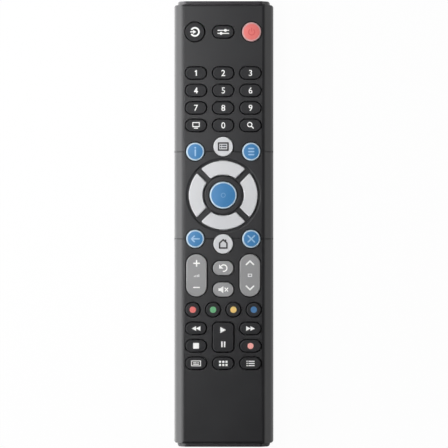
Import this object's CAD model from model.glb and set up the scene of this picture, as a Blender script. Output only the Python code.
"""Looks of a universal remote control: softened housing, keys with printed signs, and the cells inside.

Metres, in the part's own frame: +X across the keypad, +Y towards the infrared end, +Z out of the key face.
"""
import math
from contextlib import contextmanager

import bmesh
import bpy
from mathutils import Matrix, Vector


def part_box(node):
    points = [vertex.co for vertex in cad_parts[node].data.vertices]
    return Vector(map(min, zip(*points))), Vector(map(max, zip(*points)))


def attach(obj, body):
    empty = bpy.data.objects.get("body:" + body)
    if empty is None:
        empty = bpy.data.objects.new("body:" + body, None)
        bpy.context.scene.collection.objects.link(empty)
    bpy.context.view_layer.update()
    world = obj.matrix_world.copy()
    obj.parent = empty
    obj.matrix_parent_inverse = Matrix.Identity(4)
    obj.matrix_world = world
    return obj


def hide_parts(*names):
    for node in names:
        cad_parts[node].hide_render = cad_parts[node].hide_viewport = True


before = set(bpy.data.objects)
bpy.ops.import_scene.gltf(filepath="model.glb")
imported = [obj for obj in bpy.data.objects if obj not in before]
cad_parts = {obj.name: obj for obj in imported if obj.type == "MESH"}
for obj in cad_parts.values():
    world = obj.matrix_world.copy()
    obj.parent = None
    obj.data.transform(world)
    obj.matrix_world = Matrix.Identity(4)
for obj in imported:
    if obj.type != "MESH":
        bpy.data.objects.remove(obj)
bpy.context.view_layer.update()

MM = 0.001
QUARTER = math.pi / 2

# Points this close are merged, places this near count as one, and faces that would coincide stay a hair apart
MERGE = 0.001 * MM
NEAR = 0.01 * MM
HAIR = 0.02 * MM

# Steps round a full circle or along a bend
ROUND_STEPS = 48
BENT_STEPS = 40
FOOT_STEPS = 24
SMALL_STEPS = 16

# How edges and faces are told apart: turns in radians, and shares of a normal or a run along one axis
CORNER_TURN = 0.3
ARROW_TURN = 0.7
FLAT_TURN = math.radians(0.5)
ALONG = 0.99
UPRIGHT = 0.1
LEVEL = 0.999

# Key build, as the keys seat under the front cover
KEY_GAP = 0.35 * MM
EAR_LIP = 0.55 * MM
EAR_WIDTH = 4 * MM
EAR_THICKNESS = 0.8 * MM
EAR_CORNER = 0.3 * MM
EAR_FOOT = 17.7 * MM
EAR_REACH = KEY_GAP + EAR_LIP
PLUNGER = 2.6 * MM
RUBBER_EDGE = 0.4 * MM
CAP_EDGE = 0.4 * MM
TWO_SHOT_RIM = 0.3 * MM
FOOT_DEPTH = 2.5 * MM
CAP_SEGMENTS = 5
CORNER_SEGMENTS = 4
PLAY_CORNER = 2.2 * MM
PLAY_SHARE = 1 / 4
ROCKER_SHARE = 1 / 3
ROCKER_TILT = math.radians(3)
ROCKER_ROOM = 0.1 * MM
ROCKER_RIB = 2.4 * MM
ROCKER_RIB_LENGTH = 6 * MM
ROCKER_AXIS = 17.2 * MM

# Printed signs stand a hair above the caps and reach a little way in
PRINT_RISE = 0.04 * MM
PRINT_ROOT = 0.12 * MM
DIGIT_HEIGHT = 2.85 * MM
DIGIT_WEIGHT = 0.008

# Navigation ring
RING_OUT = 15.95 * MM
RING_IN = 9.6 * MM
RING_SPLIT = 2.8 * MM
RING_CORNER = 0.6 * MM
ARROW_SWEEP = math.radians(100)

# Rounding of the housing's edges
RIM_ROUND = 0.25 * MM
CLOSE_RIM_ROUND = 0.13 * MM
RING_RIM_ROUND = 0.06 * MM
DISH_ROUND = 0.2 * MM
LINE_ROUND = 0.15 * MM
LINE_REACH = 0.2 * MM + LINE_ROUND
LINE_NEAR = 0.3 * MM
CLOSE_REACH = 6 * MM
FACE_DEPTHS = (-MERGE, 0.1 * MM)
DISH_DEPTHS = (0.4 * MM, 0.6 * MM)
DISH_SLOPES = (0.7, 0.86)
SEAM_ROUND = 0.15 * MM
END_ROUND = 0.2 * MM
END_DEPTH = 1.3 * MM
LIP_REACH = 14 * MM
LIP_HEIGHT = 2 * MM
DOOR_ROUND = 0.25 * MM
DOOR_DEPTH = 0.1 * MM
BODY_AXIS = 10.4 * MM

# Cells and springs, with the cells' narrower places as shares of their radius
CELL_X = 5.4 * MM
CELL_Z = 7 * MM
CELL_RADIUS = 5.25 * MM
CELL_LENGTH = 44.5 * MM
CELL_RIM = 0.9
CELL_CRIMP = 0.97
CELL_COLLAR = 0.84
CRIMP_DEPTH = 0.15 * MM
SHOULDER_DEPTH = 0.5 * MM
COLLAR_DEPTH = 0.2 * MM
SLEEVE_SPLIT = 0.72
NUB_RADIUS = 1.9 * MM
NUB_LENGTH = 1 * MM
NUB_ROUND = 0.3 * MM
NUB_TIP = 0.85
SPRING_LENGTH = 4 * MM
SPRING_RADIUS = 2.6 * MM
SPRING_TURNS = 2.5
STEPS_PER_TURN = 24
WIRE_RADIUS = 0.25 * MM
WIRE_STEPS = 3


# Modelling by hand, in code

def take(piece):
    """Leaves this piece alone selected, and active."""
    bpy.ops.object.select_all(action="DESELECT")
    piece.select_set(True)
    bpy.context.view_layer.objects.active = piece
    return piece


@contextmanager
def editing(piece):
    """Edit mode on one piece, with all of it selected."""
    take(piece)
    bpy.ops.object.mode_set(mode="EDIT")
    bpy.ops.mesh.select_all(action="SELECT")
    yield
    bpy.ops.object.mode_set(mode="OBJECT")


def select(piece, kind, wanted):
    """In edit mode, selects the vertices, edges or faces that pass a test."""
    bpy.ops.mesh.select_mode(type=kind)
    bpy.ops.mesh.select_all(action="DESELECT")
    mesh = bmesh.from_edit_mesh(piece.data)
    mesh.normal_update()
    for item in {"VERT": mesh.verts, "EDGE": mesh.edges, "FACE": mesh.faces}[kind]:
        item.select_set(bool(wanted(item)))
    mesh.select_flush_mode()
    bmesh.update_edit_mesh(piece.data)


def is_corner(edge, least=CORNER_TURN):
    """True for an edge that stands out, between two faces that turn by more than the least angle."""
    return len(edge.link_faces) == 2 and edge.is_convex and edge.calc_face_angle() > least


def runs_along(edge, axis):
    """True for an edge that runs along one axis."""
    run = edge.verts[0].co - edge.verts[1].co
    return abs(run[axis]) > ALONG * run.length


def bevel(radius, segments, slide=True):
    """Rounds the selected edges. Without slide the width stays even where other edges meet them."""
    bpy.ops.mesh.bevel(offset=radius, segments=segments, profile=0.5, affect="EDGES",
                       clamp_overlap=False, loop_slide=slide)


def add_modifier(piece, kind, **settings):
    """Adds a modifier and applies it."""
    take(piece)
    bpy.ops.object.modifier_add(type=kind)
    modifier = piece.modifiers[-1]
    for name, value in settings.items():
        setattr(modifier, name, value)
    bpy.ops.object.modifier_apply(modifier=modifier.name)


def smooth(piece, angle=35):
    """Smooth shading up to an angle, led by the larger faces."""
    take(piece)
    bpy.ops.object.shade_smooth_by_angle(angle=math.radians(angle))
    add_modifier(piece, "WEIGHTED_NORMAL", keep_sharp=True)
    return piece


def put(piece, move=(0, 0, 0), turn=(0, 0, 0)):
    """Turns and moves a piece, and leaves its place in its mesh."""
    take(piece)
    piece.rotation_euler = turn
    piece.location = move
    bpy.ops.object.transform_apply(location=True, rotation=True, scale=True)
    return piece


def copied(piece, name):
    """A copy of a piece, with a mesh of its own."""
    made = piece.copy()
    made.data = piece.data.copy()
    made.name = made.data.name = name
    bpy.context.collection.objects.link(made)
    return made


def fused(pieces):
    """Several pieces as one closed mesh."""
    base, *others = pieces
    for other in others:
        add_modifier(base, "BOOLEAN", operation="UNION", solver="EXACT", object=other)
        bpy.data.objects.remove(other)
    return base


def start_circle(radius, steps, **options):
    """A new circle, turned by half a step so that no corner lies on an axis."""
    bpy.ops.object.select_all(action="DESELECT")
    bpy.ops.mesh.primitive_circle_add(vertices=steps, radius=radius, **options)
    return put(bpy.context.object, turn=(0, 0, math.pi / steps))


def extrude(move):
    """Extrudes what is selected."""
    bpy.ops.mesh.extrude_region_move(TRANSFORM_OT_translate={"value": move})


def face_out():
    """Turns every face outwards."""
    bpy.ops.mesh.select_all(action="SELECT")
    bpy.ops.mesh.normals_make_consistent(inside=False)


def rounded_plate(width, depth, corner, height, edge=0.0, steps=ROUND_STEPS):
    """A plate below z 0: a circle drawn out to its plan, extruded down, with a rounded top edge."""
    piece = start_circle(corner, steps, fill_type="NGON")
    with editing(piece):
        for axis, reach in enumerate((width / 2 - corner, depth / 2 - corner)):
            for side in (-1, 1):
                select(piece, "VERT", lambda vertex: vertex.co[axis] * side > 0)
                bpy.ops.transform.translate(value=[side * reach if i == axis else 0 for i in range(3)])
        bpy.ops.mesh.select_all(action="SELECT")
        bpy.ops.mesh.remove_doubles(threshold=MERGE)
        extrude((0, 0, -height))
        face_out()
        if edge:
            select(piece, "EDGE", lambda line: all(vertex.co.z > -edge / 2 for vertex in line.verts))
            bevel(edge, CAP_SEGMENTS)
    return piece


def bent_plate(inner, outer, height, sweep):
    """A plate below z 0, bent round the origin from +X anticlockwise. Spin counts its angle clockwise."""
    bpy.ops.object.select_all(action="DESELECT")
    bpy.ops.mesh.primitive_plane_add(size=1)
    piece = bpy.context.object
    piece.scale = (outer - inner, height, 1)
    put(piece, ((outer + inner) / 2, 0, -height / 2), (QUARTER, 0, 0))
    with editing(piece):
        bpy.ops.mesh.spin(steps=BENT_STEPS, angle=-sweep, center=(0, 0, 0), axis=(0, 0, 1))
        bpy.ops.mesh.select_all(action="SELECT")
        bpy.ops.mesh.remove_doubles(threshold=MERGE)
        face_out()
    return piece


# Materials

CLOUD_ENDS = (0.3, 0.7)
GLOSS_SPREAD = 0.07
RELIEF_STRENGTH = 0.5


def linear(colour):
    """An sRGB hex colour in linear light, with alpha."""
    shares = [int(colour[i:i + 2], 16) / 255 for i in (1, 3, 5)]
    return [c / 12.92 if c <= 0.04045 else ((c + 0.055) / 1.055) ** 2.4 for c in shares] + [1]


def add(tree, kind, values=None, links=None, **settings):
    """Adds one shader node, with its settings, its sockets' values and its links from (node, output)."""
    made = tree.nodes.new("ShaderNode" + kind)
    for name, value in settings.items():
        setattr(made, name, value)
    for name, value in (values or {}).items():
        made.inputs[name].default_value = value
    for name, (source, output) in (links or {}).items():
        tree.links.new(source.outputs[output], made.inputs[name])
    return made


def blank(name):
    """A material with no nodes yet, and its tree."""
    material = bpy.data.materials.new(name)
    material.use_nodes = True
    material.node_tree.nodes.clear()
    return material, material.node_tree


def finish(name, dark, pale, rough, shine=0.5, metal=0.0, grain_mm=0.3, relief_mm=0.004, cloud_mm=14.0):
    """A surface whose tone clouds slightly, with a fine grain that breaks its gloss and its relief."""
    material, tree = blank(name)
    place = add(tree, "TexCoord")
    cloud = add(tree, "TexNoise", {"Scale": 1 / (cloud_mm * MM), "Detail": 4}, {"Vector": (place, "Object")})
    tone = add(tree, "ValToRGB", links={"Fac": (cloud, "Fac")})
    for stop, position, colour in zip(tone.color_ramp.elements, CLOUD_ENDS, (dark, pale)):
        stop.position = position
        stop.color = linear(colour)
    grain = add(tree, "TexNoise", {"Scale": 1 / (grain_mm * MM), "Detail": 2}, {"Vector": (place, "Object")})
    gloss = add(tree, "MapRange", {"To Min": rough - GLOSS_SPREAD, "To Max": rough + GLOSS_SPREAD},
                {"Value": (grain, "Fac")})
    relief = add(tree, "Bump", {"Strength": RELIEF_STRENGTH, "Distance": relief_mm * MM},
                 {"Height": (grain, "Fac")})
    shader = add(tree, "BsdfPrincipled", {"Metallic": metal, "Specular IOR Level": shine},
                 {"Base Color": (tone, "Color"), "Roughness": (gloss, "Result"),
                  "Normal": (relief, "Normal")})
    add(tree, "OutputMaterial", links={"Surface": (shader, "BSDF")})
    return material


# ABS from a spark-eroded mould: dull, with a grain of a tenth of a millimetre, drawn coarser so that it shows
COVER_ABS = finish("charcoal_abs_eroded", "#28282a", "#2c2c2e", 0.4, 0.41, relief_mm=0.006)
# The fine lines across the face, cut into the mould by hand and left dull
LINE_ABS = finish("charcoal_abs_dull", "#262628", "#2a2a2c", 0.48, 0.36, relief_mm=0.006)
# The same ABS in black, eroded more deeply against finger marks
REAR_ABS = finish("black_abs_eroded", "#29292b", "#2e2e30", 0.55, 0.35, grain_mm=0.4, relief_mm=0.02)
# Dark acrylic that only passes infrared, polished in the mould
WINDOW_ACRYLIC = finish("infrared_acrylic", "#353336", "#39373a", 0.3, 0.4, grain_mm=0.8, relief_mm=0.002)
# Silicone rubber under a satin lacquer
KEY_RUBBER = finish("black_silicone_satin", "#2a2a2c", "#2e2e30", 0.55, 0.22, relief_mm=0.008)
# ABS caps under a satin lacquer
WHITE_CAP = finish("white_abs_satin", "#cfd0d3", "#d5d6d8", 0.45, 0.35)
GREY_CAP = finish("grey_abs_satin", "#939394", "#99999a", 0.45, 0.35)
# Two-shot caps: a coloured lacquer face in a pale translucent ring
BLUE_FACE = finish("blue_lacquer", "#3c7db3", "#4283b8", 0.36, 0.4)
BLUE_RIM = finish("ice_polycarbonate", "#b4cbdc", "#bed2e0", 0.3, relief_mm=0.002)
RED_FACE = finish("coral_lacquer", "#e47571", "#e87c78", 0.36, 0.4)
RED_RIM = finish("rose_polycarbonate", "#c69898", "#cfa3a2", 0.3, relief_mm=0.002)
# Pad-printed ink lies in a thin film that is never quite even
WHITE_INK = finish("white_pad_ink", "#fafaf8", "#fefefd", 0.5, 0.3, cloud_mm=1.5)
PALE_INK = finish("pale_grey_pad_ink", "#e2e2e3", "#eaeaeb", 0.5, 0.3, cloud_mm=1.5)
DARK_INK = finish("anthracite_pad_ink", "#2f2f31", "#363638", 0.5, 0.3, cloud_mm=1.5)
ICE_INK = finish("ice_pad_ink", "#96bddc", "#a2c5e0", 0.5, 0.3, cloud_mm=1.5)
MIST_INK = finish("mist_blue_pad_ink", "#699ac6", "#72a2cb", 0.5, 0.3, cloud_mm=1.5)
CORAL_INK = finish("deep_coral_pad_ink", "#d7615b", "#db6762", 0.5, 0.3, cloud_mm=1.5)
# Tinted lenses set in the colour keys
RED_LENS = finish("red_polycarbonate", "#e2716d", "#e87974", 0.28, relief_mm=0.002, cloud_mm=2)
GREEN_LENS = finish("green_polycarbonate", "#6ab17e", "#73b986", 0.28, relief_mm=0.002, cloud_mm=2)
AMBER_LENS = finish("amber_polycarbonate", "#ecc674", "#f2ce7f", 0.28, relief_mm=0.002, cloud_mm=2)
STEEL_LENS = finish("steel_blue_polycarbonate", "#4c7cae", "#5484b5", 0.28, relief_mm=0.002, cloud_mm=2)
ROSE_LENS = finish("rose_polycarbonate_lens", "#ffb0a8", "#ffbab3", 0.28, relief_mm=0.002, cloud_mm=2)
# Glass-fibre laminate under green solder mask: the weave prints through
BOARD_MASK = finish("green_solder_mask", "#1f5a38", "#2a6c45", 0.3, 0.5, grain_mm=0.5, relief_mm=0.01)
MAT_SILICONE = finish("grey_silicone", "#6c6d70", "#747578", 0.5, 0.4)
# Shrink sleeve on a cell: glossy printed film
SLEEVE_BLACK = finish("black_sleeve_film", "#1c1c1e", "#222224", 0.2, grain_mm=1.0, relief_mm=0.004)
SLEEVE_COPPER = finish("copper_sleeve_film", "#b1773f", "#bd8449", 0.22, metal=0.6, grain_mm=1.0)
# Nickel-plated steel: bright, with faint rolling marks
NICKEL = finish("nickel_plated_steel", "#b9b7b0", "#c6c4bd", 0.25, metal=1.0, grain_mm=0.4)
ZINC = finish("zinc_plated_steel", "#8f9094", "#9d9ea2", 0.32, metal=1.0, grain_mm=0.3)
DRAWN_CAN = finish("drawn_aluminium_can", "#a9aaae", "#b6b7bb", 0.3, metal=1.0, grain_mm=0.3)
# Epoxy, cast clear and tinted
LAMP_EPOXY = finish("violet_epoxy", "#2f2745", "#382f50", 0.12, relief_mm=0.001)
STATUS_EPOXY = finish("red_epoxy", "#b04a3e", "#bb5447", 0.15, relief_mm=0.001)
CHIP_RESIN = finish("black_moulding_resin", "#202022", "#262628", 0.6, 0.4, relief_mm=0.01)


# Housing: copies of the frame's covers, merged to clean meshes, with their edges rounded

def dressed(piece, body, slot, material, *nodes):
    """Gives a finished piece its body, its slot, its material and the nodes that it stands for."""
    if not piece.data.materials:
        piece.data.materials.append(material)
    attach(piece, body)
    if nodes:
        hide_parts(*nodes)
    return piece


def up_shares(edge):
    """How far an edge's two faces look up, the higher first."""
    return sorted((face.normal.z for face in edge.link_faces), reverse=True)


def middle_of(edge):
    """The middle of an edge."""
    return (edge.verts[0].co + edge.verts[1].co) / 2


def is_outer(edge):
    """True for an edge on the outside: neither of its faces looks back at the body's axis."""
    out = middle_of(edge) - Vector((0, middle_of(edge).y, BODY_AXIS))
    return all(face.normal.dot(out) > -MERGE for face in edge.link_faces)


def refill(piece, wanted):
    """In edit mode, puts a clean fill, looking up, between the rims of the flat faces that pass a test."""
    select(piece, "FACE", wanted)
    bpy.ops.mesh.delete(type="FACE")
    select(piece, "EDGE", lambda edge: edge.is_boundary)
    bpy.ops.mesh.fill()
    select(piece, "FACE", lambda face: wanted(face) and face.normal.z < 0)
    bpy.ops.mesh.flip_normals()


def softened(node, name, rounds, flat=None):
    """A copy of a node as one merged mesh. Each round picks edges, and bevels them to a radius.

    The rims of the openings keep an even width, and a flat that passes its test is filled anew.
    """
    piece = bpy.data.objects.new(name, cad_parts[node].data.copy())
    bpy.context.collection.objects.link(piece)
    piece.data.materials.clear()
    take(piece)
    bpy.ops.mesh.customdata_custom_splitnormals_clear()
    with editing(piece):
        bpy.ops.mesh.remove_doubles(threshold=MERGE)
        bpy.ops.mesh.dissolve_limited(angle_limit=FLAT_TURN)
        for wanted, radius, segments in rounds:
            select(piece, "EDGE", lambda edge: is_corner(edge) and wanted(edge))
            bevel(radius, segments, slide=wanted not in (is_opening_rim, is_close_rim))
        if flat:
            refill(piece, flat)
    return smooth(piece, angle=30)


cover_low, cover_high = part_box("front_cover")
line_places = [sum(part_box(name), Vector()).y / 2 for name in ("key_info", "key_back")]
close_places = [sum(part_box(name), Vector()) / 2 for name in ("key_guide", "key_home")]


def is_face_line(edge):
    """True for the edges of the two fine lines across the face."""
    near = min(abs(middle_of(edge).y - place) for place in line_places) < LINE_NEAR
    return near and is_outer(edge) and not runs_along(edge, 1)


def is_rim_below(edge, least, most):
    """True for the rim of a key opening that lies between two depths below the face."""
    up, side = up_shares(edge)
    on_rim = up > ALONG and abs(side) < UPRIGHT and not is_face_line(edge)
    return on_rim and least <= cover_high.z - middle_of(edge).z < most


def is_close_rim(edge):
    """True for the rims of the two openings that lie close to the dish."""
    ways = [(middle_of(edge) - place).to_2d().length for place in close_places]
    return is_rim_below(edge, *FACE_DEPTHS) and min(ways) < CLOSE_REACH


def is_opening_rim(edge):
    """True for the rims of the other key openings in the face."""
    return is_rim_below(edge, *FACE_DEPTHS) and not is_close_rim(edge)


def is_ring_rim(edge):
    """True for the rims of the arrow keys' openings, on the floor of the dish."""
    return is_rim_below(edge, *DISH_DEPTHS)


def is_dish_rim(edge):
    """True for the upper rims of the ring-shaped dish, round its outside and round its raised middle."""
    up, side = up_shares(edge)
    return up > ALONG and DISH_SLOPES[0] < side < DISH_SLOPES[1]


def is_seam(edge):
    """True for the covers' edges along the seam between them."""
    middle = middle_of(edge)
    on_side = abs(abs(middle.x) - cover_high.x) < NEAR
    return on_side and abs(middle.z - cover_low.z) < NEAR and runs_along(edge, 1)


def is_end_edge(edge):
    """True for the outer edges at the two ends of the body, but not on the thin lips beside the door."""
    middle = middle_of(edge)
    on_lip = middle.y < 0 and abs(middle.x) < LIP_REACH and middle.z < LIP_HEIGHT
    at_end = abs(middle.y) > cover_high.y - END_DEPTH and not on_lip
    return at_end and is_outer(edge) and not is_seam(edge)


def is_door_edge(edge):
    """True for the lower edges of the door, and for those of its thumb grooves."""
    return middle_of(edge).z < DOOR_DEPTH


def is_in_line(mesh, polygon):
    """True for a face inside one of the two fine lines."""
    places = [mesh.vertices[i].co.y for i in polygon.vertices]
    return any(all(abs(y - place) < LINE_REACH + MERGE for y in places) for place in line_places)


def is_key_face(face):
    """True for the flat top of the front cover, with the key openings in it."""
    return abs(face.normal.z) > LEVEL and abs(face.calc_center_median().z - cover_high.z) < NEAR


front_shell = softened("front_cover", "front_shell", [
    (is_opening_rim, RIM_ROUND, 3),
    (is_close_rim, CLOSE_RIM_ROUND, 3),
    (is_ring_rim, RING_RIM_ROUND, 2),
    (is_dish_rim, DISH_ROUND, 2),
    (is_face_line, LINE_ROUND, 2),
    (is_seam, SEAM_ROUND, 2),
    (is_end_edge, END_ROUND, 2),
], is_key_face)
for material in (COVER_ABS, LINE_ABS):
    front_shell.data.materials.append(material)
for polygon in front_shell.data.polygons:
    polygon.material_index = int(is_in_line(front_shell.data, polygon))
dressed(front_shell, "housing", "cover_plastic", COVER_ABS, "front_cover")
rear_shell = softened("rear_cover", "rear_shell", [(is_seam, SEAM_ROUND, 2), (is_end_edge, END_ROUND, 2)])
dressed(rear_shell, "housing", "rear_plastic", REAR_ABS, "rear_cover")
door_panel = softened("battery_door", "door_panel", [(is_door_edge, DOOR_ROUND, 3)])
dressed(door_panel, "battery_door", "rear_plastic", REAR_ABS, "battery_door")
window_cap = softened("ir_window", "window_cap", [(is_end_edge, END_ROUND, 3)])
dressed(window_cap, "housing", "window_plastic", WINDOW_ACRYLIC, "ir_window")


# Keys: each kind is modelled once at the origin, its top at z 0, and copied to its places

def plan_of(name):
    """Middle of a key's top, width and depth of its cap: its ears reach further along Y than the cap."""
    low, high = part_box(name)
    top = Vector(((low.x + high.x) / 2, (low.y + high.y) / 2, high.z - PRINT_RISE))
    return top, high.x - low.x, high.y - low.y - 2 * EAR_REACH


def plunger(top, foot, y=0.0):
    """A plunger below a key, from half way up the ears to its foot."""
    start = EAR_FOOT + EAR_THICKNESS / 2
    piece = rounded_plate(PLUNGER, PLUNGER, PLUNGER / 2, start - foot, steps=FOOT_STEPS)
    return put(piece, (0, y, start - top))


def key_model(name, corner=None, edge=CAP_EDGE, plunger_share=0.0):
    """A key as large as its node. A rocker has two plungers, at a share of its depth, and a tilting rib."""
    top, width, depth = plan_of(name)
    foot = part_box(name)[0].z
    drop = (depth / 2 + EAR_REACH) * math.sin(ROCKER_TILT) + ROCKER_ROOM if plunger_share else 0
    sides = (-1, 1) if plunger_share else (0,)
    cap = rounded_plate(width, depth, corner or min(width, depth) / 2, top.z - EAR_FOOT, edge)
    ears = rounded_plate(EAR_WIDTH, depth + 2 * EAR_REACH, EAR_CORNER, EAR_THICKNESS, steps=SMALL_STEPS)
    put(ears, (0, 0, EAR_FOOT + EAR_THICKNESS - drop - top.z))
    feet = [plunger(top.z, foot, side * depth * plunger_share) for side in sides]
    if plunger_share:
        rib = rounded_plate(ROCKER_RIB, ROCKER_RIB, ROCKER_RIB / 2, ROCKER_RIB_LENGTH, steps=FOOT_STEPS)
        feet.append(put(rib, (ROCKER_RIB_LENGTH / 2, 0, ROCKER_AXIS - top.z), (0, QUARTER, 0)))
    return smooth(fused([cap, ears, *feet]))


def seated(piece, cap):
    """Gives the cap of a hard key its material, and the ears and plunger below it that of the rubber mat."""
    piece.data.materials.append(cap)
    piece.data.materials.append(KEY_RUBBER)
    for polygon in piece.data.polygons:
        polygon.material_index = int(polygon.center.z < -FOOT_DEPTH)
    return piece


def two_shot(piece, rim, face):
    """Gives the middle of the flat top one material, and a rim of it and the rounded edge another."""
    seated(piece, rim)
    piece.data.materials.append(face)
    with editing(piece):
        select(piece, "FACE", lambda part: part.normal.z > ALONG and part.calc_center_median().z > -MERGE)
        bpy.ops.mesh.inset(thickness=TWO_SHOT_RIM)
        bpy.context.object.active_material_index = len(piece.data.materials) - 1
        bpy.ops.object.material_slot_assign()
    return piece


def arrow_model():
    """The upper arrow key: a bent plate cut along the spokes, with rounded corners, an ear and a plunger."""
    low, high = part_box("key_nav_up")
    height = high.z - EAR_FOOT
    middle = (RING_OUT + RING_IN) / 2
    cap = bent_plate(RING_IN, RING_OUT, height, ARROW_SWEEP)
    put(cap, turn=(0, 0, QUARTER - ARROW_SWEEP / 2))
    with editing(cap):
        for side in (-1, 1):
            across = Vector((side, 1, 0)).normalized()
            bpy.ops.mesh.select_all(action="SELECT")
            bpy.ops.mesh.bisect(plane_co=across * RING_SPLIT / 2, plane_no=across,
                                use_fill=True, clear_inner=True)
        select(cap, "EDGE", lambda edge: is_corner(edge, ARROW_TURN) and runs_along(edge, 2))
        bevel(RING_CORNER, CORNER_SEGMENTS)
        bpy.ops.mesh.select_all(action="SELECT")
        bpy.ops.mesh.remove_doubles(threshold=MERGE)
        select(cap, "EDGE", lambda edge: is_corner(edge, ARROW_TURN) and middle_of(edge).z > -CAP_EDGE / 2)
        bevel(CAP_EDGE, CAP_SEGMENTS)
    ear_length = RING_OUT - RING_IN + 2 * EAR_REACH
    ears = rounded_plate(EAR_WIDTH, ear_length, EAR_CORNER, EAR_THICKNESS - HAIR, steps=SMALL_STEPS)
    put(ears, (0, middle, EAR_THICKNESS - height))
    return smooth(fused([cap, ears, plunger(high.z, low.z, middle)]))


PILL_KEYS = ["key_setup", *(f"key_digit_{i}" for i in range(10)), "key_tv", "key_search", "key_rewind",
             "key_forward", "key_stop", "key_record", "key_subtitle", "key_apps", "key_list"]
COLOUR_KEYS = ["key_red", "key_green", "key_yellow", "key_blue"]
BLUE_KEYS = ["key_info", "key_menu", "key_back", "key_exit"]
ARROW_KEYS = ["key_nav_up", "key_nav_left", "key_nav_down", "key_nav_right"]
KINDS = [
    (key_model("key_digit_1", edge=RUBBER_EDGE), PILL_KEYS, "key_rubber", KEY_RUBBER),
    (key_model("key_source", edge=RUBBER_EDGE), ["key_source"], "key_rubber", KEY_RUBBER),
    (key_model("key_red", edge=RUBBER_EDGE), COLOUR_KEYS, "key_rubber", KEY_RUBBER),
    (key_model("key_play_pause", PLAY_CORNER, RUBBER_EDGE, PLAY_SHARE), ["key_play_pause"], "key_rubber",
     KEY_RUBBER),
    (two_shot(key_model("key_power"), RED_RIM, RED_FACE), ["key_power"], "key_red_cap", RED_FACE),
    (two_shot(key_model("key_info"), BLUE_RIM, BLUE_FACE), BLUE_KEYS, "key_blue_cap", BLUE_FACE),
    (two_shot(key_model("key_ok"), BLUE_RIM, BLUE_FACE), ["key_ok"], "key_blue_cap", BLUE_FACE),
    (seated(key_model("key_guide"), WHITE_CAP), ["key_guide", "key_home"], "key_white_cap", WHITE_CAP),
    (seated(key_model("key_recall"), GREY_CAP), ["key_recall", "key_mute"], "key_grey_cap", GREY_CAP),
    (seated(key_model("rocker_volume", plunger_share=ROCKER_SHARE), GREY_CAP),
     ["rocker_volume", "rocker_channel"], "key_grey_cap", GREY_CAP),
]
slot_of = {}
for model, names, slot, material in KINDS:
    for name in names:
        slot_of[name] = slot
        cap = put(copied(model, "cap_" + name), plan_of(name)[0])
        dressed(cap, name, slot, material, name)
    bpy.data.objects.remove(model)
arrow = seated(arrow_model(), WHITE_CAP)
ring_middle = plan_of("key_ok")[0]
for quarter, name in enumerate(ARROW_KEYS):
    place = (ring_middle.x, ring_middle.y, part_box(name)[1].z)
    cap = put(copied(arrow, "cap_" + name), place, (0, 0, quarter * QUARTER))
    dressed(cap, name, "key_white_cap", WHITE_CAP, name)
bpy.data.objects.remove(arrow)


# Printed signs: strokes in millimetres from the middle of the key, fused to one print

PRINT_HEIGHT = PRINT_RISE + PRINT_ROOT
NARROWER = 0.98
COLOUR_DOT = 1.48
RECORD_DOT = 1.42


def at(x, y):
    """A place on the key, at the height of the print's top."""
    return (x * MM, y * MM, PRINT_RISE)


def bar(ax, ay, bx, by, width):
    """A straight stroke with round ends."""
    run = math.hypot(bx - ax, by - ay)
    piece = rounded_plate((run + width) * MM, width * MM, width * MM / 2, PRINT_HEIGHT, steps=SMALL_STEPS)
    return put(piece, at((ax + bx) / 2, (ay + by) / 2), (0, 0, math.atan2(by - ay, bx - ax)))


def path(width, *points):
    """Straight strokes from point to point. Every other one is narrower, so that no round ends coincide."""
    steps = enumerate(zip(points, points[1:]))
    widths = (width, width * NARROWER)
    return fused([bar(*start, *end, widths[i % 2]) for i, (start, end) in steps])


def block(x, y, width, height, corner=0.15):
    """A filled rectangle."""
    return put(rounded_plate(width * MM, height * MM, corner * MM, PRINT_HEIGHT, steps=SMALL_STEPS), at(x, y))


def dot(x, y, radius):
    """A filled circle."""
    return put(rounded_plate(2 * radius * MM, 2 * radius * MM, radius * MM, PRINT_HEIGHT), at(x, y))


def arc(x, y, radius, width, start, sweep):
    """A round stroke with two ends."""
    inner, outer = (radius - width / 2) * MM, (radius + width / 2) * MM
    piece = bent_plate(inner, outer, PRINT_HEIGHT, math.radians(sweep))
    return put(piece, at(x, y), (0, 0, math.radians(start)))


def ring(x, y, radius, width):
    """A closed round stroke: a disc, inset by the stroke, with its middle taken out."""
    piece = start_circle((radius + width / 2) * MM, ROUND_STEPS, fill_type="NGON")
    with editing(piece):
        bpy.ops.mesh.inset(thickness=width * MM)
        bpy.ops.mesh.delete(type="FACE")
        bpy.ops.mesh.select_all(action="SELECT")
        extrude((0, 0, -PRINT_HEIGHT))
        face_out()
    return put(piece, at(x, y))


def wedge(x, y, length, width, turn):
    """A filled triangle that points along +X before it is turned.

    In a circle of radius 1 it is 1.5 high and a root of 3 wide, with the middle of its height at 0.25.
    """
    bpy.ops.object.select_all(action="DESELECT")
    bpy.ops.mesh.primitive_circle_add(vertices=3, radius=1, fill_type="NGON")
    piece = bpy.context.object
    stretch = length * MM / 1.5
    piece.scale = (width * MM / math.sqrt(3), stretch, 1)
    put(piece, (0, -0.25 * stretch, 0))
    with editing(piece):
        extrude((0, 0, -PRINT_HEIGHT))
        face_out()
    return put(piece, at(x, y), (0, 0, math.radians(turn) - QUARTER))


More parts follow.
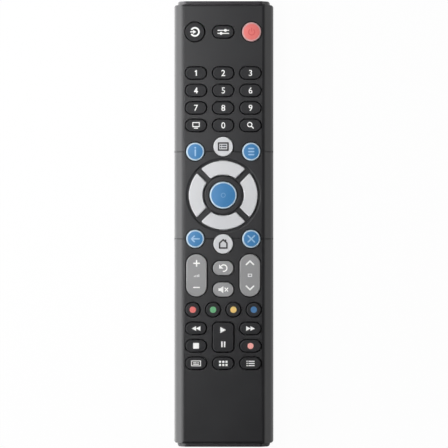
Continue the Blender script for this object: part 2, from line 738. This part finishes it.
def digit(character):
    """A printed digit in a bold, plain face."""
    bpy.ops.object.select_all(action="DESELECT")
    bpy.ops.object.text_add()
    text = bpy.context.object
    text.data.body = character
    text.data.offset = DIGIT_WEIGHT
    bpy.ops.object.convert(target="MESH")
    piece = bpy.context.object
    points = [vertex.co for vertex in piece.data.vertices]
    low = Vector([min(point[i] for point in points) for i in range(3)])
    high = Vector([max(point[i] for point in points) for i in range(3)])
    scale = DIGIT_HEIGHT / (high.y - low.y)
    piece.scale = (scale, scale, scale)
    middle = (low + high) / 2 * scale
    put(piece, (-middle.x, -middle.y, PRINT_RISE))
    with editing(piece):
        bpy.ops.mesh.remove_doubles(threshold=MERGE)
        bpy.ops.mesh.dissolve_limited(angle_limit=FLAT_TURN)
        extrude((0, 0, -PRINT_HEIGHT))
        face_out()
    return piece


SLIDERS = [(bar, -2.5, 0.7, 2.5, 0.7, 0.45), (dot, 1.0, 0.7, 0.68), (bar, -2.5, -0.7, 2.5, -0.7, 0.45),
           (dot, -1.0, -0.7, 0.68)]
SCREEN = [(path, 0.42, (-1.5, -0.6), (1.5, -0.6), (1.5, 1.3), (-1.5, 1.3), (-1.5, -0.6)),
          (bar, -0.75, -1.3, 0.75, -1.3, 0.42)]
MAGNIFIER = [(ring, -0.35, 0.35, 1.0, 0.45), (bar, 0.36, -0.36, 1.3, -1.3, 0.55)]
GUIDE_PAGE = [(path, 0.74, (-2.2, -1.65), (2.2, -1.65), (2.2, 1.65), (-2.2, 1.65), (-2.2, -1.65)),
              *((dot, -1.2, y, 0.36) for y in (-0.55, 0.55)),
              *((bar, -0.4, y, 1.25, y, 0.55) for y in (-0.55, 0.55))]
HOUSE = [(path, 0.74, (-1.7, -1.9), (-1.7, 0.4), (0, 1.95), (1.7, 0.4), (1.7, -1.9), (-1.7, -1.9)),
         (bar, 1.1, 1.1, 1.1, 1.75, 0.7)]
CAPTION = [(path, 0.4, (-2.1, -1.15), (2.1, -1.15), (2.1, 1.15), (-2.1, 1.15), (-2.1, -1.15)),
           (bar, -1.2, 0.25, 0.1, 0.25, 0.38), (bar, 0.75, 0.25, 1.2, 0.25, 0.38),
           (bar, -1.2, -0.45, 1.2, -0.45, 0.38)]
TILES = [(block, 1.5 * column, 0.75 * row, 1.0, 1.0) for column in (-1, 0, 1) for row in (-1, 1)]
BULLETS = [(mark, *values) for y in (-1, 0, 1)
           for mark, values in ((dot, (-1.6, y, 0.3)), (bar, (-0.8, y, 1.7, y, 0.45)))]
UNDO = [(arc, 0.2, 0.03, 1.5, 0.56, -106, 245), (wedge, -1.44, 0.3, 1.4, 2.8, 225)]
SPEAKER = [(wedge, -1.1, 0, 2.3, 3.3, 180), (block, -1.75, 0, 1.05, 1.25),
           (bar, 0.82, 0.72, 2.1, -0.72, 0.5), (bar, 0.82, -0.72, 2.1, 0.72, 0.5)]
SIGNS = [
    ("key_source", WHITE_INK, [(arc, 0, 0, 1.87, 0.78, -150, 300), (bar, -1.95, 0, -0.5, 0, 0.55),
                               (wedge, -0.1, 0, 1.45, 1.9, 0)]),
    ("key_setup", WHITE_INK, SLIDERS),
    ("key_power", CORAL_INK, [(arc, 0, -0.1, 1.4, 0.5, 125, 290), (bar, 0, 0.35, 0, 1.7, 0.5)]),
    ("key_digit_1", WHITE_INK, [(path, 0.56, (-0.32, 0.75), (0.15, 1.12), (0.15, -1.12))]),
    ("key_digit_4", WHITE_INK, [(path, 0.54, (0.3, -1.15), (0.3, 1.15), (-0.68, -0.5), (0.68, -0.5))]),
    *((f"key_digit_{i}", WHITE_INK, [(digit, str(i))]) for i in (0, 2, 3, *range(5, 10))),
    ("key_tv", WHITE_INK, SCREEN),
    ("key_search", WHITE_INK, MAGNIFIER),
    ("key_info", ICE_INK, [(dot, 0, 1.8, 0.42), (bar, 0, 0.72, 0, -1.85, 0.7)]),
    ("key_guide", DARK_INK, GUIDE_PAGE),
    ("key_menu", ICE_INK, [(bar, -1.1, y, 1.1, y, 0.68) for y in (-1.4, 0, 1.4)]),
    ("key_ok", MIST_INK, [(ring, 0, 0, 0.95, 0.4)]),
    ("key_back", ICE_INK, [(path, 0.66, (-0.45, 1.3), (-1.75, 0), (-0.45, -1.3)),
                           (bar, -1.75, 0, 1.8, 0, 0.66)]),
    ("key_home", DARK_INK, HOUSE),
    ("key_exit", ICE_INK, [(bar, -1.5, -1.45, 1.5, 1.45, 0.64), (bar, -1.5, 1.45, 1.5, -1.45, 0.64)]),
    ("rocker_volume", WHITE_INK, [(bar, -1.26, 5.6, 1.26, 5.6, 0.64), (bar, 0, 4.34, 0, 6.86, 0.64),
                                  (bar, -1.3, -5.6, 1.3, -5.6, 0.6)]),
    ("rocker_channel", WHITE_INK, [(path, 0.72, (-1.7, 5.05), (0, 6.7), (1.7, 5.05)),
                                   (path, 0.72, (-1.7, -4.98), (0, -6.63), (1.7, -4.98))]),
    ("key_recall", WHITE_INK, UNDO),
    ("key_mute", WHITE_INK, SPEAKER),
    ("key_red", RED_LENS, [(dot, 0, 0, COLOUR_DOT)]),
    ("key_green", GREEN_LENS, [(dot, 0, 0, COLOUR_DOT)]),
    ("key_yellow", AMBER_LENS, [(dot, 0, 0, COLOUR_DOT)]),
    ("key_blue", STEEL_LENS, [(dot, 0, 0, COLOUR_DOT)]),
    ("key_rewind", WHITE_INK, [(wedge, -1.0, 0, 2.05, 2.3, 180), (wedge, 1.0, 0, 2.05, 2.3, 180)]),
    ("key_forward", WHITE_INK, [(wedge, -1.0, 0, 2.05, 2.3, 0), (wedge, 1.0, 0, 2.05, 2.3, 0)]),
    ("key_play_pause", WHITE_INK, [(wedge, -0.05, 3.35, 2.65, 2.9, 0), (block, -0.64, -3.3, 0.66, 2.75),
                                   (block, 0.64, -3.3, 0.66, 2.75)]),
    ("key_stop", WHITE_INK, [(block, 0, 0.06, 2.7, 2.7)]),
    ("key_record", ROSE_LENS, [(dot, 0, 0, RECORD_DOT)]),
    ("key_subtitle", WHITE_INK, CAPTION),
    ("key_apps", WHITE_INK, TILES),
    ("key_list", WHITE_INK, BULLETS),
]
FAINT_SIGNS = [
    ("rocker_volume", PALE_INK, [(bar, x, -0.6, x, x / 3.2, 0.42) for x in (-1.05, -0.35, 0.35, 1.05)]),
    ("rocker_channel", PALE_INK, [(path, 0.45, (-0.8, -0.5), (0.8, -0.5), (0.8, 0.6), (-0.8, 0.6),
                                   (-0.8, -0.5))]),
]
for prefix, signs in (("sign_", SIGNS), ("mark_", FAINT_SIGNS)):
    for name, ink, marks in signs:
        sign = smooth(fused([mark(*values) for mark, *values in marks]))
        sign.name = sign.data.name = prefix + name
        dressed(put(sign, plan_of(name)[0]), name, slot_of[name], ink)


# Cells, springs and the parts that stay as the frame has them

def cell_model():
    """A cell along +Y: a disc extruded station by station, each a share of its radius and a height.

    The stations are its crimp and shoulder, the split of its sleeve, its far shoulder and crimp, and its
    collar and nub.
    """
    body_length = CELL_LENGTH - NUB_LENGTH
    sleeve_split = body_length * SLEEVE_SPLIT
    nub = NUB_RADIUS / CELL_RADIUS
    stations = [
        (CELL_CRIMP, CRIMP_DEPTH),
        (1, SHOULDER_DEPTH),
        (1, sleeve_split),
        (1, body_length - SHOULDER_DEPTH),
        (CELL_CRIMP, body_length - CRIMP_DEPTH),
        (CELL_RIM, body_length),
        (CELL_COLLAR, body_length - COLLAR_DEPTH),
        (nub, body_length - COLLAR_DEPTH),
        (nub, CELL_LENGTH - NUB_ROUND),
        (NUB_TIP * nub, CELL_LENGTH),
    ]
    share, height = CELL_RIM, 0
    piece = start_circle(share * CELL_RADIUS, ROUND_STEPS, fill_type="NGON")
    with editing(piece):
        for next_share, next_height in stations:
            grow = next_share / share
            extrude((0, 0, next_height - height))
            bpy.ops.transform.resize(value=(grow, grow, 1), center_override=(0, 0, next_height))
            share, height = next_share, next_height
        face_out()
    for material in (NICKEL, SLEEVE_BLACK, SLEEVE_COPPER):
        piece.data.materials.append(material)
    for polygon in piece.data.polygons:
        middle = polygon.center
        on_sleeve = math.hypot(middle.x, middle.y) > CELL_RIM * CELL_RADIUS
        if on_sleeve:
            polygon.material_index = 2 if middle.z > sleeve_split else 1
    return put(smooth(piece), turn=(-QUARTER, 0, 0))


def spring_model():
    """A spring along +Y from its plate: one wire, wound at a steady rate, with straight ends."""
    wire = bpy.data.curves.new("spring", "CURVE")
    wire.dimensions = "3D"
    wire.bevel_depth = WIRE_RADIUS
    wire.bevel_resolution = WIRE_STEPS
    wire.use_fill_caps = True
    steps = int(STEPS_PER_TURN * SPRING_TURNS)
    bend = 2 * WIRE_RADIUS
    rise = SPRING_LENGTH - 2 * bend
    points = [(SPRING_RADIUS, 0, 0)]
    for i in range(steps + 1):
        turn = 2 * math.pi * SPRING_TURNS * i / steps
        height = bend + rise * i / steps
        points.append((SPRING_RADIUS * math.cos(turn), height, SPRING_RADIUS * math.sin(turn)))
    points.append((points[-1][0], SPRING_LENGTH, points[-1][2]))
    spline = wire.splines.new("POLY")
    spline.points.add(len(points) - 1)
    for point, place in zip(spline.points, points):
        point.co = (*place, 1)
    piece = bpy.data.objects.new("spring", wire)
    bpy.context.collection.objects.link(piece)
    take(piece)
    bpy.ops.object.convert(target="MESH")
    piece = bpy.context.object
    with editing(piece):
        bpy.ops.mesh.remove_doubles(threshold=MERGE)
        face_out()
    return smooth(piece, angle=60)


cell = cell_model()
spring = spring_model()
spring_low, spring_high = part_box("battery_springs")
cell_low, cell_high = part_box("battery_cells")
for side, word in ((-1, "left"), (1, "right")):
    turn = (0, 0, math.pi if side > 0 else 0)
    cell_end = cell_low.y if side < 0 else cell_high.y
    spring_end = spring_low.y if side < 0 else spring_high.y
    made = put(copied(cell, "cell_" + word), (side * CELL_X, cell_end, CELL_Z), turn)
    dressed(made, "housing", "cell_wrap", SLEEVE_BLACK, "battery_cells")
    made = put(copied(spring, "spring_" + word), (side * CELL_X, spring_end, CELL_Z), turn)
    dressed(made, "housing", "spring_steel", NICKEL, "battery_springs")
bpy.data.objects.remove(cell)
bpy.data.objects.remove(spring)

KEPT_NODES = [
    ("circuit_board", BOARD_MASK), ("keymat", MAT_SILICONE), ("contact_plates", NICKEL),
    ("ir_led", LAMP_EPOXY), ("status_led", STATUS_EPOXY), ("controller_chip", CHIP_RESIN),
    ("capacitor", DRAWN_CAN), ("resonator", DRAWN_CAN), ("housing_screws", ZINC),
]
for name, material in KEPT_NODES:
    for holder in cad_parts[name].material_slots:
        holder.material = material


# Stage: a pale floor, soft light, and a camera straight above the key face

FRAME_SIDE = 208.5 * MM
LENS = 400
LEAN = math.radians(1.4)
CAMERA_AIM = Vector((0.19 * MM, 0, 15 * MM))
FLOOR_SIZE = 12
FLOOR_GLOW = 0.97
ROOM_LIGHT = 0.04
WHITE = (1, 1, 1, 1)

# Lamps: name, place, aim, width and height in metres, and power in watts
LAMPS = [
    # Two narrow boxes above the left edge, the upper one stronger, so that the face darkens to the tail
    ("long_softbox", (-0.062, 0.135, 0.2), (-0.02, 0.135, 0.02), 0.35, 0.04, 0.3),
    ("tail_softbox", (-0.062, -0.125, 0.2), (-0.02, -0.125, 0.02), 0.35, 0.04, 0.066),
    # A wide box beyond the infrared end, for the key tops
    ("head_softbox", (-0.25, 0.75, 0.8), (0, 0, 0.02), 0.6, 0.6, 0.55),
    # The main box, on the left, and a card on the floor that gives the left slope its pale strip
    ("left_softbox", (-0.45, 0, 0.25), (0, 0, 0.2499), 0.6, 0.48, 3.6),
    ("left_card", (-0.054, 0, 0.001), (-0.0539, 0, 0.016), 0.26, 0.06, 0.118),
    # A weak box on the right, so that this side shows its form
    ("right_softbox", (0.45, 0, 0.11), (0, 0, 0.11), 0.6, 0.2, 0.35),
]


def floor():
    """A white paper floor. What the camera or a shiny surface sees of it is partly plain white."""
    bpy.ops.object.select_all(action="DESELECT")
    bpy.ops.mesh.primitive_plane_add(size=FLOOR_SIZE)
    paper = bpy.context.object
    paper.name = "floor"
    material, tree = blank("white_paper")
    rays = add(tree, "LightPath")
    seen = add(tree, "Math", links={0: (rays, "Is Camera Ray"), 1: (rays, "Is Glossy Ray")},
               operation="MAXIMUM")
    clear = add(tree, "Math", links={0: (seen, "Value"), 1: (rays, "Is Transmission Ray")},
                operation="MAXIMUM")
    share = add(tree, "Math", {1: FLOOR_GLOW}, {0: (clear, "Value")}, operation="MULTIPLY")
    matt = add(tree, "BsdfDiffuse", {"Color": linear("#f4f4f4")})
    glow = add(tree, "Emission", {"Color": WHITE, "Strength": 1})
    both = add(tree, "MixShader", links={0: (share, "Value"), 1: (matt, "BSDF"), 2: (glow, "Emission")})
    add(tree, "OutputMaterial", links={"Surface": (both, "Shader")})
    paper.data.materials.append(material)


def room():
    """Dim light from all round, behind a white backdrop."""
    world = bpy.data.worlds.new("studio")
    bpy.context.scene.world = world
    world.use_nodes = True
    tree = world.node_tree
    tree.nodes.clear()
    rays = add(tree, "LightPath")
    dim = add(tree, "Background", {"Color": WHITE, "Strength": ROOM_LIGHT})
    plain = add(tree, "Background", {"Color": WHITE, "Strength": 1})
    both = add(tree, "MixShader", links={0: (rays, "Is Camera Ray"), 1: (dim, "Background"),
                                         2: (plain, "Background")})
    add(tree, "OutputWorld", links={"Surface": (both, "Shader")})


def lamp(name, place, aim, width, height, power):
    """A soft rectangular lamp that the camera doesn't see."""
    light = bpy.data.lights.new(name, "AREA")
    light.shape = "RECTANGLE"
    light.size = width
    light.size_y = height
    light.energy = power
    holder = bpy.data.objects.new(name, light)
    holder.location = place
    holder.rotation_euler = (Vector(aim) - Vector(place)).to_track_quat("-Z", "Y").to_euler()
    holder.visible_camera = False
    bpy.context.collection.objects.link(holder)


def camera():
    """Straight above, leaning a little to the right, with a long lens."""
    eye = bpy.data.cameras.new("eye")
    eye.lens = LENS
    eye.clip_end = 100
    holder = bpy.data.objects.new("eye", eye)
    distance = FRAME_SIDE / eye.sensor_width * LENS
    holder.location = CAMERA_AIM + distance * Vector((math.sin(LEAN), 0, math.cos(LEAN)))
    holder.rotation_euler = (0, LEAN, 0)
    bpy.context.collection.objects.link(holder)
    bpy.context.scene.camera = holder


floor()
room()
for settings in LAMPS:
    lamp(*settings)
camera()
bpy.context.scene.view_settings.view_transform = "Standard"
